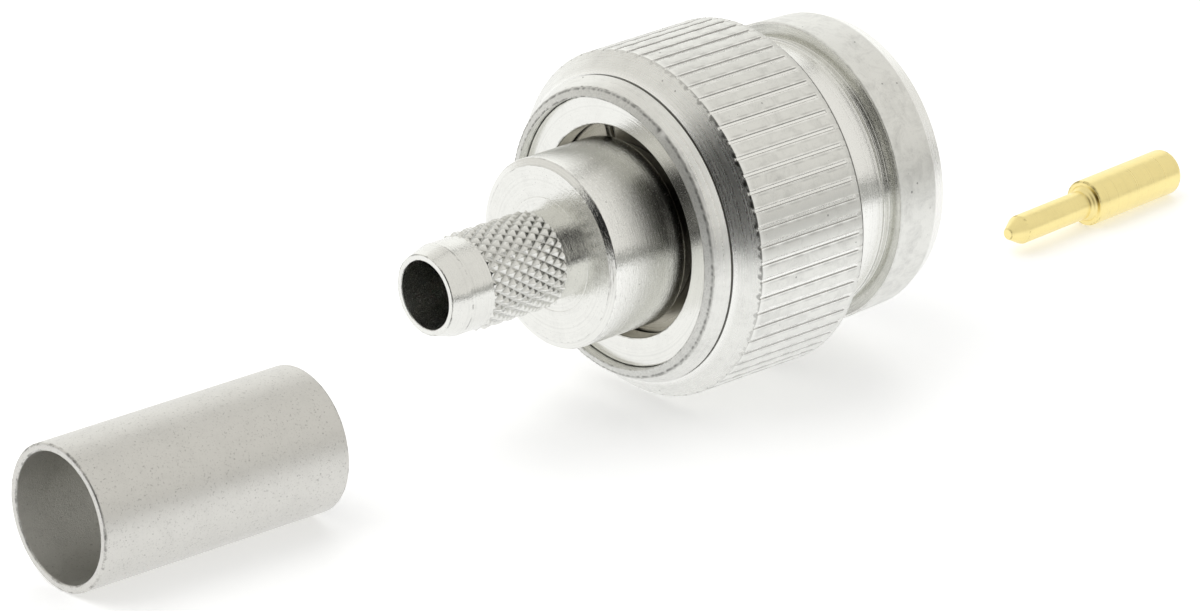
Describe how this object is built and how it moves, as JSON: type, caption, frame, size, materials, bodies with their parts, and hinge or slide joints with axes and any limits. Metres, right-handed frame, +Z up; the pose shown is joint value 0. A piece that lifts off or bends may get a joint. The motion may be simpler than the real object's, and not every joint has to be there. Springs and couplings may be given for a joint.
{
  "type": "threaded coaxial connector plug, straight crimp type",
  "caption": "Straight crimp plug for thin coaxial cable with a ribbed screw-coupling nut, beside its loose crimp ferrule and gold centre contact.",
  "frame": {"origin": "on the plane that all three loose groups lie on, under the middle of their whole length and of the nut's width", "axes": "+X along the plug's axis from its cable end to its mating end, +Z up, +Y to the left when looking along +X"},
  "size_m": [0.065, 0.0154, 0.0153],
  "materials": {
    "nickel_nut": "bright nickel plate on brass, fine satin turning marks",
    "nickel_washer": "smooth pale nickel plate",
    "spring_bronze": "tinned spring bronze, satin",
    "nickel_body": "satin nickel plate on brass",
    "nickel_sleeve": "satin nickel plate on brass",
    "white_insulator": "waxy white fluoroplastic",
    "seal_rubber": "matte silicone rubber",
    "nickel_ferrule": "matte speckled nickel plate on annealed copper",
    "gold_contact": "bright gold plate"
  },
  "bodies": {
    "plug": {"plug_body": "nickel_body", "snap_ring": "spring_bronze", "outer_contact": "nickel_sleeve", "insulator": "white_insulator", "gasket": "seal_rubber", "crimp_ferrule": "nickel_ferrule", "centre_contact": "gold_contact"},
    "nut": {"coupling_nut": "nickel_nut", "retaining_washer": "nickel_washer"}
  },
  "joints": [
    {"name": "nut_turn", "type": "hinge", "parent": "plug", "child": "nut", "pos_m": [-0.00086, 0, 0.00766], "axis": [1, 0, 0], "continuous": true}
  ]
}
